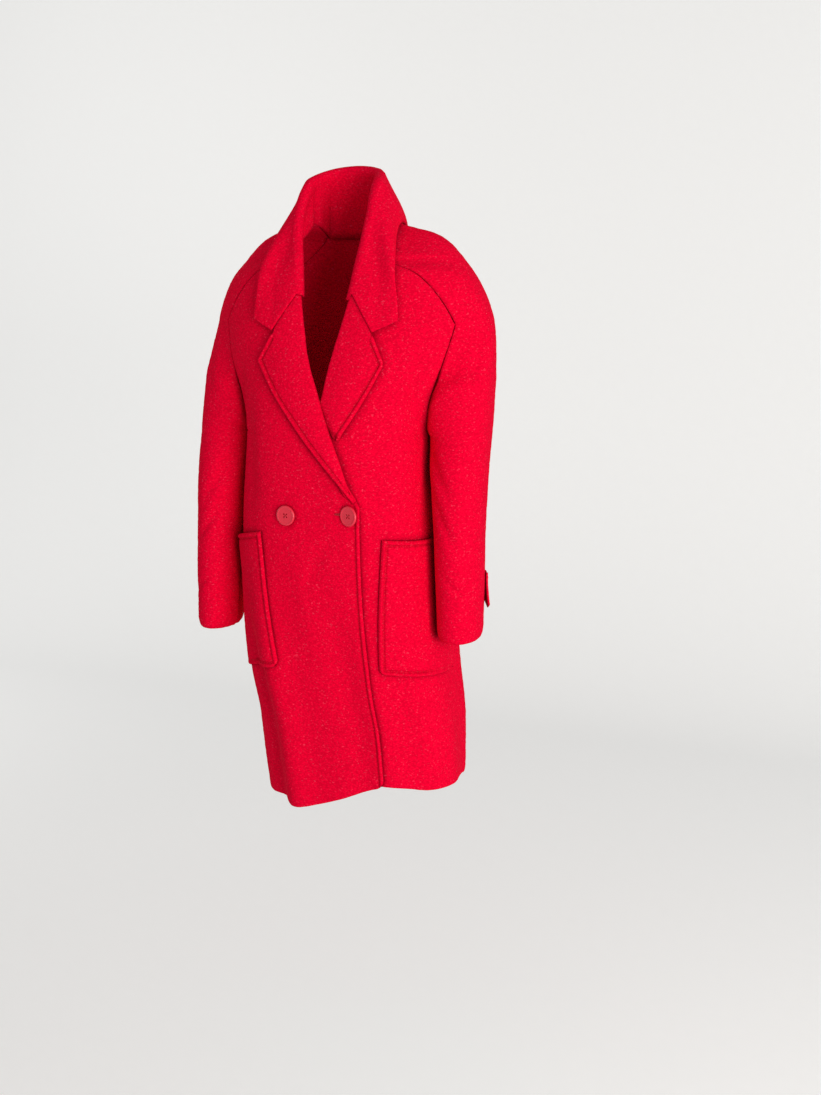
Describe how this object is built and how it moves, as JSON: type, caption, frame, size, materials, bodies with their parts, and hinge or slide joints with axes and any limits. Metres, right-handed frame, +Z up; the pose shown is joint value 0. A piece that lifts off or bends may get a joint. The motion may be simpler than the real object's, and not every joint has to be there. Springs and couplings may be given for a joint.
{
  "type": "boucle coat",
  "caption": "Knee-length wool boucle coat with notched lapels, lapped double-breasted front, saddle shoulders, patch pockets and cuff tabs, in its hollow worn form.",
  "frame": {"origin": "midway between the neck points of the two shoulders, where the wearer's shoulders carry the coat", "axes": "+Z up, -Y to the coat's front, +X to the wearer's left"},
  "size_m": [0.5439, 0.2951, 1.0999],
  "materials": {
    "boucle_wool": "nubby red wool boucle",
    "button_plastic": "glossy red"
  },
  "bodies": {
    "root": {"front_right": "boucle_wool", "front_left": "boucle_wool", "back": "boucle_wool", "back_yoke": "boucle_wool", "sleeve_right": "boucle_wool", "saddle_right": "boucle_wool", "sleeve_left": "boucle_wool", "saddle_left": "boucle_wool", "collar_fall": "boucle_wool", "collar_stand": "boucle_wool", "lapel_right": "boucle_wool", "lapel_left": "boucle_wool", "pocket_right": "boucle_wool", "pocket_left": "boucle_wool", "cuff_tab_right": "boucle_wool", "cuff_tab_left": "boucle_wool", "button_right": "button_plastic", "button_left": "button_plastic"}
  },
  "joints": []
}
